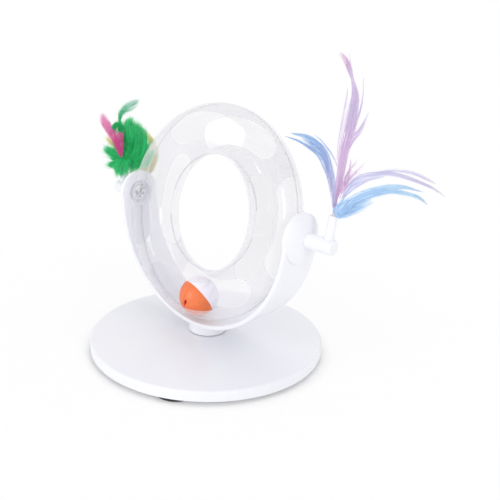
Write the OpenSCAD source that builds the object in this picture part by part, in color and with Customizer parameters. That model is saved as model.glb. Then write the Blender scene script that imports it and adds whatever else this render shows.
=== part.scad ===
// Cat ball track toy: a clear ring with a ball inside turns in a yoke that swivels on a round base.
// Millimetres. Z is up, the floor is z = 0 and the origin lies under the swivel axis.

/* [Base] */
// How far the yoke's heads reach past the edge of the round base
head_overhang = 1.3; // [-10:0.1:6]
// Height of the base's side, from its lower edge to where the dome starts
base_edge_h = 10; // [8:0.5:14]
// Rise of the base's dome from its edge to its middle
base_rise = 4.2; // [2:0.1:8]
// Wall of the base cover
base_wall = 2.6; // [2:0.1:3.4]
// Rounding of the base's upper edge
base_round = 2; // [1:0.1:2.6]
// Thickness of the plate that closes the base from below
plate_t = 2; // [1.5:0.1:2.6]
// Across each rubber foot
foot_d = 40; // [28:1:48]
// How far the feet stand below the base
foot_h = 4; // [3:0.5:8]
// From the base's edge in to the outer edge of a foot
foot_in = 5; // [3:0.5:12]
// Angle of the first foot, degrees
foot_angle = -61; // [-80:1:-40]
// Number of feet
foot_count = 4; // [3:1:6]
// From a foot's inner edge in to the base screw beside it
base_screw_in = 9; // [5:0.5:14]
// Number of base screws
base_screw_count = 4; // [3:1:6]

/* [Swivel] */
// Across the yoke's round hub
hub_d = 39; // [34:0.5:46]
// Across the dark washer that the hub turns on
glide_d = 34; // [32:0.5:44]
// Height of the dark washer
glide_h = 0.8; // [0.6:0.1:3.5]
// Height of the yoke's hub, from the washer to the band
hub_h = 10.9; // [9:0.1:16]
// Across the hub's spigot in the base
spigot_d = 18; // [14:0.5:22]

/* [Yoke] */
// Gap between the ring and the yoke's band
ring_gap = 3; // [2:0.1:6]
// Thickness of the yoke's band
yoke_t = 4.4; // [3.2:0.1:5]
// Width of the yoke's band
yoke_w = 46.5; // [44:0.5:54]
// Rounding of the band's edges
yoke_round = 1.2; // [0.6:0.1:1.5]
// Across each round head
head_d = 46.5; // [44:0.5:54]
// From the band's outer face to the tip of the head's dome
dome_h = 6.8; // [6:0.1:9]

/* [Ring] */
// Across the middle line of the ball's track
track_d = 164.4; // [160:0.5:166]
// Across the clear tube
tube_d = 49.8; // [46:0.5:50]
// Wall of the clear tube
tube_wall = 1.6; // [1.2:0.1:2]
// Lean of the ring from upright at rest, degrees
ring_lean = 10.7; // [0:0.1:30]
// Across each paw slot, from its inner edge to its outer edge
slot_w = 27.4; // [20:0.5:30]
// Half the angle that a paw slot spans, degrees
slot_half = 35.5; // [30:0.5:38]
// Number of paw slots on each side
slot_count = 4; // [3:1:4]
// Across the clear pivot cup
cup_d = 27; // [21:0.5:28]
// Wall of the clear pivot cup
cup_wall = 1.8; // [1.4:0.1:2.4]
// Thickness of the cup's floor
cup_floor = 3; // [2:0.1:3.6]

/* [Feather arms] */
// Across the arm that stands out of each head
arm_d = 14; // [12:0.5:16]
// How far an arm stands out of its head
arm_out = 27; // [24:0.1:38]
// From the end of an arm to the middle of its feather holder
holder_in = 7; // [6.4:0.1:10]
// Height of the holder above the axle
holder_h = 26; // [20:0.5:32]
// Across the foot of the holder
holder_d = 9; // [8:0.5:10]
// Across the mouth of the holder
holder_mouth_d = 7.8; // [7.2:0.1:8.4]

/* [Ball] */
// Room that the tube leaves beside the ball, from wall to wall
ball_room = 7; // [6.6:0.2:14]
// Wall of the ball
ball_wall = 1.8; // [1.2:0.1:2.4]
// Depth of the grooves between the ball's pleats
pleat_depth = 0.5; // [0.2:0.1:0.8]
// Pleats on each half
pleat_count = 12; // [6:2:16]
// Where the ball lies along the track, from its lowest point, degrees
ball_at = 1.5; // [-10:0.5:10]
// Across the bell
bell_d = 14; // [10:0.5:18]

/* [Feathers] */
// Height of the tall lilac feather
lilac_h = 128; // [90:1:130]
// Reach of the blue feather that bends back over the ring
blue_reach = 78; // [50:1:80]
// Reach of the long lavender feather
lavender_reach = 97; // [60:1:100]
// Reach of the sky blue feather
sky_reach = 56; // [40:1:60]
// Reach of the pink feather
pink_reach = 50; // [35:1:52]
// Height of the green fluff
fluff_h = 46; // [32:1:48]
// Height of the small green feather
sprig_h = 71; // [55:1:74]
// Height of the yellow fluff
yellow_h = 40; // [28:1:42]
// Thickness of a feather's blade
blade_t = 2.4; // [1.6:0.1:3]
// Across a bare quill
quill_d = 1.5; // [1.2:0.1:1.8]

/* [Hidden] */

$fn = 96;
// Facets of the large round faces and of the small roundings
wide_fn = 180;
// Facets of the very large ball that the base's dome is cut from
crown_fn = 1440;
edge_fn = 32;
// Overrun of every cut past the face that it opens
over = 1;
// Gap round a part that turns in its seat
run_gap = 0.08;
// Gap between a part that is pushed in and its seat
seat_gap = 0.05;
// Gap between parts that lie loose on each other
rest_gap = 0.1;

// Yoke
yoke_ri = track_d / 2 + tube_d / 2 + ring_gap;
yoke_ro = yoke_ri + yoke_t;
head_r = head_d / 2;
dome_x = yoke_ro + dome_h;
// Radius of the ball that the head's dome is cut from
dome_r = (head_r * head_r + dome_h * dome_h) / (2 * dome_h);

// Base
base_r = dome_x - head_overhang;
foot_orbit = base_r - foot_in - foot_d / 2;
base_screw_orbit = foot_orbit - foot_d / 2 - base_screw_in;
base_top = foot_h + base_edge_h + base_rise;
// Radius and height of the middle of the ball that the base's dome is cut from
crown_r = (base_r * base_r + base_rise * base_rise) / (2 * base_rise);
crown_z = base_top - crown_r;
// Height of the middle of the edge's rounding, and where the rounding meets the dome
round_z = crown_z + sqrt(pow(crown_r - base_round, 2) - pow(base_r - base_round, 2));
round_x = (base_r - base_round) * crown_r / (crown_r - base_round);
plate_r = base_r - base_wall - seat_gap;
plate_top = foot_h + plate_t;
// Depth of the foot's seat in the plate
foot_sink = 0.8;
// Rounding of a foot's lower edge
foot_round = 1;
// Groove in the foot's sole
groove_ri = foot_d / 4;
foot_groove_w = 1;
foot_groove_h = 1;
// Across and height of the ribs under the cover
rib_t = 1.8;
rib_count = 12;
rib_ring_d = 90;
// Gap between the ribs and the plate
rib_gap = 0.5;
// Screws that hold the plate
post_d = 9;
screw_d = 3;
screw_head_d = 5.6;
screw_head_h = 1.2;
screw_l = 6.6;
screw_bore_h = screw_head_h + screw_l - plate_t + rest_gap;
screw_hole_d = 3.4;
drive_w = 1;
drive_l = 3.4;
drive_h = 0.7;
// Foot of a screw's head and end of its tip, as shares of the head and the shank
head_foot_share = 0.88;
tip_share = 0.35;

// Swivel
collar_wall = 3;
// Room for the screw's head between the plate and the collar
collar_room = 5.4;
collar_bottom = plate_top + collar_room;
spigot_r = spigot_d / 2;
glide_top = base_top + glide_h;
hub_bottom = glide_top + rest_gap;
axle_h = hub_bottom + hub_h + yoke_ro;
spigot_end = collar_bottom - rest_gap;
retainer_t = 1.2;
retainer_d = spigot_d + 2 * collar_wall;
swivel_head_h = 2.2;
swivel_head_d = 8;
swivel_shank_d = 4;
swivel_hole_d = 4.3;
swivel_l = 14;

// Ring
track_r = track_d / 2;
tube_ro = tube_d / 2;
tube_ri = tube_ro - tube_wall;
lip_h = 1.4;
// Gap between a lip and its rebate
seam_gap = 0.06;
lip_t = tube_wall / 2;
// How far a lip reaches up its own half's wall
lip_root = 0.4;
cup_r = cup_d / 2;
cup_bore_r = cup_r - cup_wall;
// Wall that the head keeps outside the cup
head_wall = 4.2;
cup_end = dome_x - head_wall - rest_gap;
cup_inside = cup_end - cup_floor;
slot_ri = track_r - slot_w / 2;
slot_end_half = slot_half - asin(slot_w / 2 / track_r);

// Arms
arm_r = arm_d / 2;
arm_reach = dome_x + arm_out;
holder_at = arm_reach - holder_in;
arm_round = 1.6;
holder_bore_d = 5.4;
plug_l = 12;
plug_rise = 1;
plug_top = holder_h + plug_rise;
pivot_washer_t = 1;
// Gap round the washer in the cup
pivot_washer_gap = 2.5;
pivot_washer_d = 2 * (cup_bore_r - pivot_washer_gap);
pivot_head_d = 8;
pivot_head_h = 2.4;
pivot_shank_d = 3.4;
pivot_l = 17;

// Ball
ball_d = tube_d - 2 * tube_wall - ball_room;
ball_r = ball_d / 2;
ball_orbit = track_r + tube_ri - ball_r - rest_gap;
ball_ri = ball_r - ball_wall;
// Lip of the orange half inside the white half's rim
ball_lip_h = 1.2;
ball_lip_ro = ball_ri + ball_wall / 2 - seam_gap;
ball_lip_ri = ball_ri - ball_wall / 2;
groove_w = 0.7;
// Lean and turn of the orange half's middle from the ring's axis, degrees
ball_lean = 45.6;
ball_angle = -106;
vent_count = 4;
vent_angle = -12;
// The vent's inner end, widest point and outer end, as shares of the ball's radius
vent_shares = [
    [0.27, 0], [0.3, 0.03], [0.6, 0.09],
    [0.69, 0], [0.6, -0.09], [0.3, -0.03],
];
bell_r = bell_d / 2;
bell_wall = 0.6;
bell_slot_w = 1.6;
// Gap between the bell and the ball's wall
bell_gap = 0.3;
pellet_r = 2.4;

// Paths of the feathers from the holder's mouth, as shares of each feather's own reach:
// outward from the ring, to the back of the ring, and up
lilac_path_shares = [
    [0, 0, 0], [0, -0.02, 0.27], [-0.01, -0.03, 0.54],
    [-0.02, -0.02, 0.82], [-0.03, -0.22, 1],
];
blue_path_shares = [
    [0, 0, 0], [-0.01, -0.15, 0.36], [-0.02, -0.4, 0.6],
    [-0.04, -0.76, 0.78], [-0.06, -1, 0.74],
];
lavender_path_shares = [
    [0, 0, 0], [0.06, 0.06, 0.3], [0.21, 0.31, 0.46],
    [0.4, 0.78, 0.4], [0.49, 1, 0.32],
];
sky_path_shares = [
    [0, 0, 0], [0.14, -0.04, 0.25], [0.3, 0.12, 0.42],
    [0.67, 0.56, 0.61], [0.9, 1, 0.43],
];
pink_path_shares = [
    [0, 0, 0], [0.04, -0.17, 0.2], [0.24, -0.24, 0.56],
    [0.6, -0.2, 0.74], [0.96, -0.14, 0.96],
];
fluff_path_shares = [
    [0, 0, 0], [0.06, 0.06, 0.2], [0.1, 0.11, 0.45],
    [0.1, 0.1, 0.7], [0.08, 0.02, 1],
];
sprig_path_shares = [
    [0, 0, 0], [0.17, 0.12, 0.15], [0.27, 0.15, 0.38],
    [0.32, 0.05, 0.65], [0.34, 0.35, 0.98],
];
yellow_path_shares = [
    [0, 0, 0], [0.06, 0.4, 0.2], [0.12, 0.74, 0.34],
    [0.14, 0.95, 0.6], [0.14, 0.8, 0.95],
];
// Widths along a feather, as shares of its length and of its widest place
blade_width_shares = [
    [0, 0.1], [0.16, 0.12], [0.3, 0.7],
    [0.5, 1], [0.75, 0.85], [0.92, 0.5],
    [1, 0.12],
];
fluff_width_shares = [
    [0, 0.03], [0.08, 0.03], [0.2, 0.5],
    [0.42, 1], [0.7, 0.95], [0.9, 0.6],
    [1, 0.25],
];
// Widest places of the feathers
lilac_w = 11;
blue_w = 12;
lavender_w = 14;
sky_w = 15;
pink_w = 13;
sprig_w = 11;
fluff_w = 44;
fluff_t = 20;
yellow_w = 22;
yellow_t = 8;
// Quills stand in holes round the middle of the plug
quill_ring_r = 1.35;
quill_count = 4;
quill_sink = 6;
quill_gap = 0.05;
// How far a quill stands straight out of the plug
quill_rise = 0.6;
// The way the blades face: to the right, to the back and up
blade_face = [0.6, -0.8, 0.2];
quill_angle = atan2(-blade_face[0], blade_face[1]);
rings = 16;

function at_angle(r, a) = [r * cos(a), r * sin(a)];
function unit(v) = v / norm(v);
// Point u of the way along the smooth curve through the points p
function along(p, u) =
    let (n = len(p) - 1, i = min(floor(u * n), n - 1), t = u * n - i)
    let (a = p[max(i - 1, 0)], b = p[i], c = p[i + 1], d = p[min(i + 2, n)])
    ((2 * b) + (c - a) * t + (2 * a - 5 * b + 4 * c - d) * t * t
        + (3 * b - a - 3 * c + d) * t * t * t) / 2;

// Stands a ring drawn flat round the Z axis upright at the axle, with its front to the back of Y
module on_track() {
    translate([0, 0, axle_h])
        rotate([90 - ring_lean, 0, 0])
            children();
}

// The same frame with Y to the ring's back and Z up along the ring
module on_axle() {
    translate([0, 0, axle_h])
        rotate([-ring_lean, 0, 0])
            children();
}

// Turns a part drawn along Z to point out of one side of the ring
module outward(side) {
    rotate([0, side * 90, 0])
        children();
}

module around(count, turn = 0) {
    for (k = [0 : count - 1])
        rotate(turn + k * 360 / count)
            children();
}

module ring_of(ro, ri, h) {
    difference() {
        cylinder(r = ro, h = h);
        translate([0, 0, -over])
            cylinder(r = ri, h = h + 2 * over);
    }
}

module self_tapper(head_d, head_h, shank_d, length) {
    // Head at z = 0 downwards, shank up
    difference() {
        translate([0, 0, -head_h])
            cylinder(d1 = head_d * head_foot_share, d2 = head_d, h = head_h);
        for (a = [0, 90])
            rotate(a)
                translate([-drive_l / 2, -drive_w / 2, -head_h - over])
                    cube([drive_l, drive_w, drive_h + over]);
    }
    cylinder(d = shank_d, h = length - shank_d);
    translate([0, 0, length - shank_d])
        cylinder(d1 = shank_d, d2 = shank_d * tip_share, h = shank_d);
}

// Space under the base's dome, drawn in by an inset, from a height up
module under_crown(inset, bottom) {
    rotate_extrude($fn = wide_fn)
        intersection() {
            translate([0, crown_z])
                circle(r = crown_r - inset, $fn = crown_fn);
            translate([0, bottom])
                square([base_r - inset, base_top - bottom]);
        }
}

module base_cover() {
    color("white")
    difference() {
        union() {
            difference() {
                rotate_extrude($fn = wide_fn) {
                    intersection() {
                        translate([0, crown_z])
                            circle(r = crown_r, $fn = crown_fn);
                        translate([0, foot_h])
                            square([round_x, base_top - foot_h]);
                    }
                    translate([0, foot_h])
                        square([base_r, round_z - foot_h]);
                    translate([base_r - base_round, round_z])
                        circle(r = base_round);
                }
                under_crown(base_wall, foot_h - over);
            }
            intersection() {
                under_crown(base_wall / 2, plate_top);
                union() {
                    // Ledge that the plate stops against
                    translate([0, 0, plate_top])
                        ring_of(base_r, base_r - 2 * base_wall, base_top);
                    // Ribs
                    around(rib_count)
                        translate([spigot_r, -rib_t / 2, plate_top + rib_gap])
                            cube([base_r, rib_t, base_top]);
                    translate([0, 0, plate_top + rib_gap])
                        ring_of(rib_ring_d / 2 + rib_t, rib_ring_d / 2, base_top);
                    // Posts for the plate's screws
                    around(base_screw_count, foot_angle)
                        translate([base_screw_orbit, 0, plate_top])
                            cylinder(d = post_d, h = base_top);
                    // Collar round the spigot
                    translate([0, 0, collar_bottom])
                        cylinder(r = spigot_r + collar_wall, h = base_top);
                }
            }
        }
        translate([0, 0, foot_h - over])
            cylinder(r = spigot_r + run_gap, h = base_top);
        // Room for the washer and the screw's head under the collar
        translate([0, 0, foot_h])
            cylinder(d = retainer_d + 2 * collar_wall, h = collar_bottom - foot_h);
        around(base_screw_count, foot_angle)
            translate([base_screw_orbit, 0, plate_top - over])
                cylinder(d = screw_d, h = screw_bore_h + over);
    }
}

module base_plate() {
    color("white")
    difference() {
        translate([0, 0, foot_h])
            cylinder(r = plate_r, h = plate_t, $fn = wide_fn);
        around(foot_count, foot_angle)
            translate([foot_orbit, 0, foot_h - over])
                cylinder(d = foot_d + 2 * seat_gap, h = foot_sink + over);
        around(base_screw_count, foot_angle)
            translate([base_screw_orbit, 0, foot_h - over]) {
                cylinder(d = screw_hole_d, h = plate_t + 2 * over);
                cylinder(d = screw_head_d + 2 * rest_gap, h = screw_head_h + over);
            }
    }
}

module rubber_feet() {
    color([0.1, 0.1, 0.11])
    around(foot_count, foot_angle)
        translate([foot_orbit, 0, 0])
            difference() {
                rotate_extrude() {
                    translate([0, foot_round])
                        square([foot_d / 2, foot_h + foot_sink - foot_round]);
                    square([foot_d / 2 - foot_round, foot_round]);
                    translate([foot_d / 2 - foot_round, foot_round])
                        circle(r = foot_round);
                }
                translate([0, 0, -over])
                    ring_of(groove_ri + foot_groove_w, groove_ri, foot_groove_h + over);
            }
}

module base_screws() {
    color("silver")
    around(base_screw_count, foot_angle)
        translate([base_screw_orbit, 0, foot_h + screw_head_h])
            self_tapper(screw_head_d, screw_head_h, screw_d - 2 * seat_gap, screw_l);
}

module glide_washer() {
    color([0.12, 0.12, 0.13])
    translate([0, 0, base_top])
        ring_of(glide_d / 2, spigot_r + run_gap, glide_h);
}

module rounded_bar(x0, x1, half_w, r) {
    // Cross-section of the band with round edges, from x0 to x1
    translate([x0 + r, -half_w])
        square([x1 - x0 - 2 * r, 2 * half_w]);
    translate([x0, -half_w + r])
        square([x1 - x0, 2 * half_w - 2 * r]);
    for (x = [x0 + r, x1 - r], y = [-half_w + r, half_w - r])
        translate([x, y])
            circle(r = r, $fn = edge_fn);
}

module head_solid(side) {
    outward(side)
        intersection() {
            translate([0, 0, yoke_ri])
                cylinder(r = head_r, h = yoke_t + dome_h);
            translate([0, 0, dome_x - dome_r])
                sphere(r = dome_r, $fn = wide_fn);
        }
}

module yoke() {
    color("white")
    difference() {
        union() {
            translate([0, 0, axle_h])
                rotate([90, 0, 0])
                    rotate(180)
                        rotate_extrude(angle = 180, $fn = wide_fn)
                            rounded_bar(yoke_ri, yoke_ro, yoke_w / 2, yoke_round);
            translate([0, 0, axle_h])
                for (side = [-1, 1])
                    head_solid(side);
            // Hub, cut to the band's curve from above
            difference() {
                translate([0, 0, hub_bottom])
                    cylinder(d = hub_d, h = axle_h - yoke_ro - hub_bottom + yoke_t);
                translate([0, yoke_w / 2, axle_h])
                    rotate([90, 0, 0])
                        cylinder(r = yoke_ri + yoke_t / 2, h = yoke_w, $fn = wide_fn);
            }
            translate([0, 0, spigot_end])
                cylinder(r = spigot_r, h = hub_bottom - spigot_end + over);
        }
        translate([0, 0, axle_h])
            for (side = [-1, 1])
                outward(side) {
                    translate([0, 0, yoke_ri - yoke_t])
                        cylinder(r = cup_r + run_gap, h = yoke_t + cup_end + rest_gap - yoke_ri);
                    cylinder(r = arm_r + run_gap, h = dome_x + over);
                }
        translate([0, 0, spigot_end - over])
            cylinder(d = swivel_shank_d + 2 * seat_gap, h = swivel_l + over);
    }
}

module swivel_washer() {
    color("silver")
    translate([0, 0, spigot_end - retainer_t])
        ring_of(retainer_d / 2, swivel_hole_d / 2, retainer_t);
}

module swivel_screw() {
    color("silver")
    translate([0, 0, spigot_end - retainer_t])
        self_tapper(swivel_head_d, swivel_head_h, swivel_shank_d, swivel_l);
}

module torus(r) {
    rotate_extrude($fn = wide_fn)
        translate([track_r, 0])
            circle(r = r);
}

module paw_slots() {
    around(slot_count, 90)
        union() {
            rotate(-slot_end_half)
                rotate_extrude(angle = 2 * slot_end_half, $fn = wide_fn)
                    translate([slot_ri, -tube_ro - over])
                        square([slot_w, tube_d + 2 * over]);
            for (a = [-slot_end_half, slot_end_half])
                rotate(a)
                    translate([track_r, 0, -tube_ro - over])
                        cylinder(d = slot_w, h = tube_d + 2 * over);
        }
}

module clear_ring() {
    difference() {
        union() {
            torus(tube_ro);
            for (side = [-1, 1])
                outward(side)
                    translate([0, 0, track_r])
                        cylinder(r = cup_r, h = cup_end - track_r);
        }
        torus(tube_ri);
        for (side = [-1, 1])
            outward(side) {
                translate([0, 0, track_r])
                    cylinder(r = cup_bore_r, h = cup_inside - track_r);
                translate([0, 0, track_r])
                    cylinder(d = pivot_shank_d + 2 * seat_gap, h = cup_end - track_r + over);
            }
        paw_slots();
    }
}

// Half of the clear ring, above z = 0 as drawn
module upper_half() {
    intersection() {
        clear_ring();
        cylinder(r = cup_end + over, h = tube_d, $fn = wide_fn);
    }
}

// Band at the seam on the inner half of the tube's wall, between two heights
module seam_band(t, z0, z1) {
    difference() {
        translate([0, 0, z0]) {
            ring_of(track_r + tube_ri + t, track_r + tube_ri, z1 - z0, $fn = wide_fn);
            ring_of(track_r - tube_ri, track_r - tube_ri - t, z1 - z0, $fn = wide_fn);
        }
        for (side = [-1, 1])
            outward(side)
                cylinder(r = cup_r, h = cup_end);
    }
}

module ring_front_shell() {
    color([0.9, 0.9, 0.97, 0.4])
    on_track()
        union() {
            upper_half();
            seam_band(lip_t - seam_gap, -lip_h, lip_root);
        }
}

module ring_back_shell() {
    color([0.9, 0.9, 0.97, 0.4])
    on_track()
        difference() {
            mirror([0, 0, 1])
                upper_half();
            seam_band(lip_t, -lip_h - seam_gap, over);
        }
}

module pivot_washers() {
    color("silver")
    on_axle()
        for (side = [-1, 1])
            outward(side)
                translate([0, 0, cup_inside - pivot_washer_t])
                    ring_of(pivot_washer_d / 2, pivot_shank_d / 2 + seat_gap, pivot_washer_t);
}

module pivot_screws() {
    color("silver")
    on_axle()
        for (side = [-1, 1])
            outward(side)
                translate([0, 0, cup_inside - pivot_washer_t])
                    self_tapper(pivot_head_d, pivot_head_h, pivot_shank_d, pivot_l);
}

module arm(side) {
    color("white")
    on_axle()
        difference() {
            union() {
                outward(side) {
                    translate([0, 0, cup_end])
                        cylinder(r = arm_r, h = arm_reach - arm_round - cup_end);
                    translate([0, 0, arm_reach - arm_round])
                        cylinder(r = arm_r - arm_round, h = arm_round);
                    translate([0, 0, arm_reach - arm_round])
                        rotate_extrude()
                            translate([arm_r - arm_round, 0])
                                circle(r = arm_round, $fn = edge_fn);
                }
                translate([side * holder_at, 0, 0])
                    cylinder(d1 = holder_d, d2 = holder_mouth_d, h = holder_h);
            }
            translate([side * holder_at, 0, holder_h - plug_l])
                cylinder(d = holder_bore_d, h = plug_l + over);
            outward(side)
                translate([0, 0, cup_end - over])
                    cylinder(d = pivot_shank_d + 2 * seat_gap, h = pivot_l - cup_floor + over);
        }
}

module arm_left() {
    arm(-1);
}

module arm_right() {
    arm(1);
}

module quill_plugs() {
    color([0.93, 0.93, 0.9])
    on_axle()
        for (side = [-1, 1])
            translate([side * holder_at, 0, 0])
                difference() {
                    translate([0, 0, holder_h - plug_l])
                        cylinder(d = holder_bore_d - 2 * seat_gap, h = plug_top - holder_h + plug_l);
                    around(quill_count)
                        translate([quill_ring_r, 0, plug_top - quill_sink - quill_gap])
                            cylinder(d = quill_d + 2 * quill_gap, h = quill_sink + quill_gap + over);
                }
}

// One feather: its quill stands in the plug, and its blade is swept along the path, lens shaped across
module feather(side, path_shares, reach, width_shares, w, t, place, sides = 6) {
    path = [for (p = path_shares) [side * p[0], p[1], p[2]] * reach + [0, 0, quill_rise]];
    quill = [
        for (z = [-quill_sink, quill_rise], k = [0 : sides - 1])
            concat(at_angle(quill_d / 2, quill_angle + k * 360 / sides), z)
    ];
    blade = [
        for (i = [1 : rings])
            let (
                u = i / rings,
                tangent = unit(along(path, min(u + 1 / rings, 1)) - along(path, max(u - 1 / rings, 0))),
                across = unit(cross(blade_face, tangent)),
                up = cross(tangent, across),
                share = lookup(u, width_shares),
                half_w = max(share * w, quill_d) / 2,
                half_t = max(share * t, quill_d) / 2
            )
            for (k = [0 : sides - 1])
                along(path, u) + across * half_w * cos(k * 360 / sides) + up * half_t * sin(k * 360 / sides)
    ];
    faces = concat(
        [for (i = [0 : rings], k = [0 : sides - 1])
            let (a = i * sides + k, b = i * sides + (k + 1) % sides)
            [a, b + sides, b]],
        [for (i = [0 : rings], k = [0 : sides - 1])
            let (a = i * sides + k, b = i * sides + (k + 1) % sides)
            [a, a + sides, b + sides]],
        [for (k = [1 : sides - 2]) [0, k, k + 1]],
        [for (k = [1 : sides - 2]) [0, k + 1, k] + [1, 1, 1] * (rings + 1) * sides]
    );
    on_axle()
        translate([side * holder_at, 0, plug_top])
            translate(concat(at_angle(quill_ring_r, place), 0))
                polyhedron(points = concat(quill, blade), faces = faces);
}

module lilac_feather() {
    color([0.8, 0.7, 0.88])
        feather(1, lilac_path_shares, lilac_h, blade_width_shares, lilac_w, blade_t, 180);
}

module blue_feather() {
    color([0.62, 0.72, 0.9])
        feather(1, blue_path_shares, blue_reach, blade_width_shares, blue_w, blade_t, 270);
}

module lavender_feather() {
    color([0.78, 0.76, 0.92])
        feather(1, lavender_path_shares, lavender_reach, blade_width_shares, lavender_w, blade_t, 90);
}

module sky_feather() {
    color([0.55, 0.78, 0.95])
        feather(1, sky_path_shares, sky_reach, blade_width_shares, sky_w, blade_t, 0);
}

module pink_feather() {
    color([0.88, 0.3, 0.62])
        feather(-1, pink_path_shares, pink_reach, blade_width_shares, pink_w, blade_t, 270);
}

module green_fluff() {
    color([0.1, 0.62, 0.34])
        feather(-1, fluff_path_shares, fluff_h, fluff_width_shares, fluff_w, fluff_t, 0, 12);
}

module green_sprig() {
    color([0.2, 0.66, 0.42])
        feather(-1, sprig_path_shares, sprig_h, blade_width_shares, sprig_w, blade_t, 180);
}

module yellow_fluff() {
    color([0.9, 0.85, 0.45])
        feather(-1, yellow_path_shares, yellow_h, fluff_width_shares, yellow_w, yellow_t, 90, 8);
}

// The ball's middle, with the side of the track as the way down
module at_ball() {
    on_track()
        rotate(-90 + ball_at)
            translate([ball_orbit, 0, 0])
                children();
}

module ball_half() {
    difference() {
        intersection() {
            sphere(r = ball_r);
            cylinder(r = ball_d, h = ball_d);
        }
        sphere(r = ball_ri);
        // Grooves between the pleats
        difference() {
            for (k = [0 : pleat_count / 2 - 1])
                rotate(vent_angle + (k + 0.5) * 360 / pleat_count)
                    translate([-ball_d, -groove_w / 2, 2 * ball_wall])
                        cube([2 * ball_d, groove_w, ball_d]);
            sphere(r = ball_r - pleat_depth);
            cylinder(r = vent_shares[0][0] * ball_r, h = ball_d);
        }
        around(vent_count, vent_angle)
            linear_extrude(ball_d)
                polygon(vent_shares * ball_r);
    }
}

module ball_orange_half() {
    color([0.95, 0.45, 0.2])
    at_ball()
        rotate(90 - ball_at)
            rotate([0, ball_lean, ball_angle])
                union() {
                    ball_half();
                    translate([0, 0, -ball_lip_h])
                        difference() {
                            ring_of(ball_lip_ro, ball_lip_ri, 2 * ball_lip_h);
                            translate([0, 0, ball_lip_h])
                                sphere(r = ball_ri);
                        }
                }
}

module ball_white_half() {
    color([0.96, 0.96, 0.98])
    at_ball()
        rotate(90 - ball_at)
            rotate([0, ball_lean, ball_angle])
                difference() {
                    mirror([0, 0, 1])
                        ball_half();
                    translate([0, 0, -ball_lip_h - seam_gap])
                        cylinder(r = ball_lip_ro + seam_gap, h = ball_lip_h + seam_gap + over);
                }
}

module at_bell() {
    at_ball()
        translate([ball_ri - bell_r - bell_gap, 0, 0])
            rotate([0, -90, 0])
                children();
}

module bell_shell() {
    color("gold")
    at_bell()
        difference() {
            sphere(r = bell_r);
            sphere(r = bell_r - bell_wall);
            translate([-bell_r - over, -bell_slot_w / 2, 0])
                cube([bell_d + 2 * over, bell_slot_w, bell_d]);
        }
}

module bell_pellet() {
    color("silver")
    at_bell()
        translate([0, 0, -(bell_r - bell_wall - pellet_r - rest_gap)])
            sphere(r = pellet_r);
}

base_cover();
base_plate();
rubber_feet();
base_screws();
glide_washer();
yoke();
swivel_washer();
swivel_screw();
ring_front_shell();
ring_back_shell();
pivot_washers();
pivot_screws();
arm_left();
arm_right();
quill_plugs();
lilac_feather();
blue_feather();
lavender_feather();
sky_feather();
pink_feather();
green_fluff();
green_sprig();
yellow_fluff();
bell_shell();
bell_pellet();
ball_orange_half();
ball_white_half();
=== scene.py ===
"""Looks of the cat ball track toy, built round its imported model.

Lengths are metres in the model's own frame: Z is up, the floor is z = 0 and the
swivel axis is the Z axis. A clear tube ring leans a little in a white yoke, a
pleated ball lies in the tube, and a feather tuft stands on each pivot arm.
"""

from __future__ import annotations

import logging
import math
import random
from collections.abc import Callable, Sequence
from dataclasses import dataclass
from enum import Enum

import bmesh
import bpy
from mathutils import Matrix, Vector


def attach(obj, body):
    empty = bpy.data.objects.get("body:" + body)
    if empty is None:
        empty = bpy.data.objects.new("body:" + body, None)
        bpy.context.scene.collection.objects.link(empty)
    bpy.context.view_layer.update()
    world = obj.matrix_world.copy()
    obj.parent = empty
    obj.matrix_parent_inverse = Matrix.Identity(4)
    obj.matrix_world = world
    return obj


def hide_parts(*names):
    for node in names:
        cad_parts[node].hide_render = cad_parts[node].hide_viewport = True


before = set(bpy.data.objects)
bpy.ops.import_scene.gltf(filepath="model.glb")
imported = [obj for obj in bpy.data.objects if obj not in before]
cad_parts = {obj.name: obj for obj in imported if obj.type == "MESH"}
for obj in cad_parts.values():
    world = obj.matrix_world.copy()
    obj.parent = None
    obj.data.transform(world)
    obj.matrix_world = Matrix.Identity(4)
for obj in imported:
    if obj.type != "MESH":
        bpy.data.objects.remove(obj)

LOG = logging.getLogger("cat_ball_toy")
MM = 0.001
AXLE_HEIGHT = 144.5 * MM
RING_LEAN = math.radians(10.7)

Material = bpy.types.Material
Colour = tuple[float, float, float]
Paint = tuple[float, float, float, float]
Point = tuple[float, float, float]
Range = tuple[float, float]

BLACK: Colour = (0.0, 0.0, 0.0)
WHITE: Colour = (1.0, 1.0, 1.0)


class Side(Enum):
    """The two pivot arms, seen with the ring's front to the viewer."""

    LEFT = -1
    RIGHT = 1


def dimmed(colour: Colour, share: float) -> Colour:
    """A colour with only a share of its light left."""
    return tuple(share * c for c in colour)


# Shader building


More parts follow.
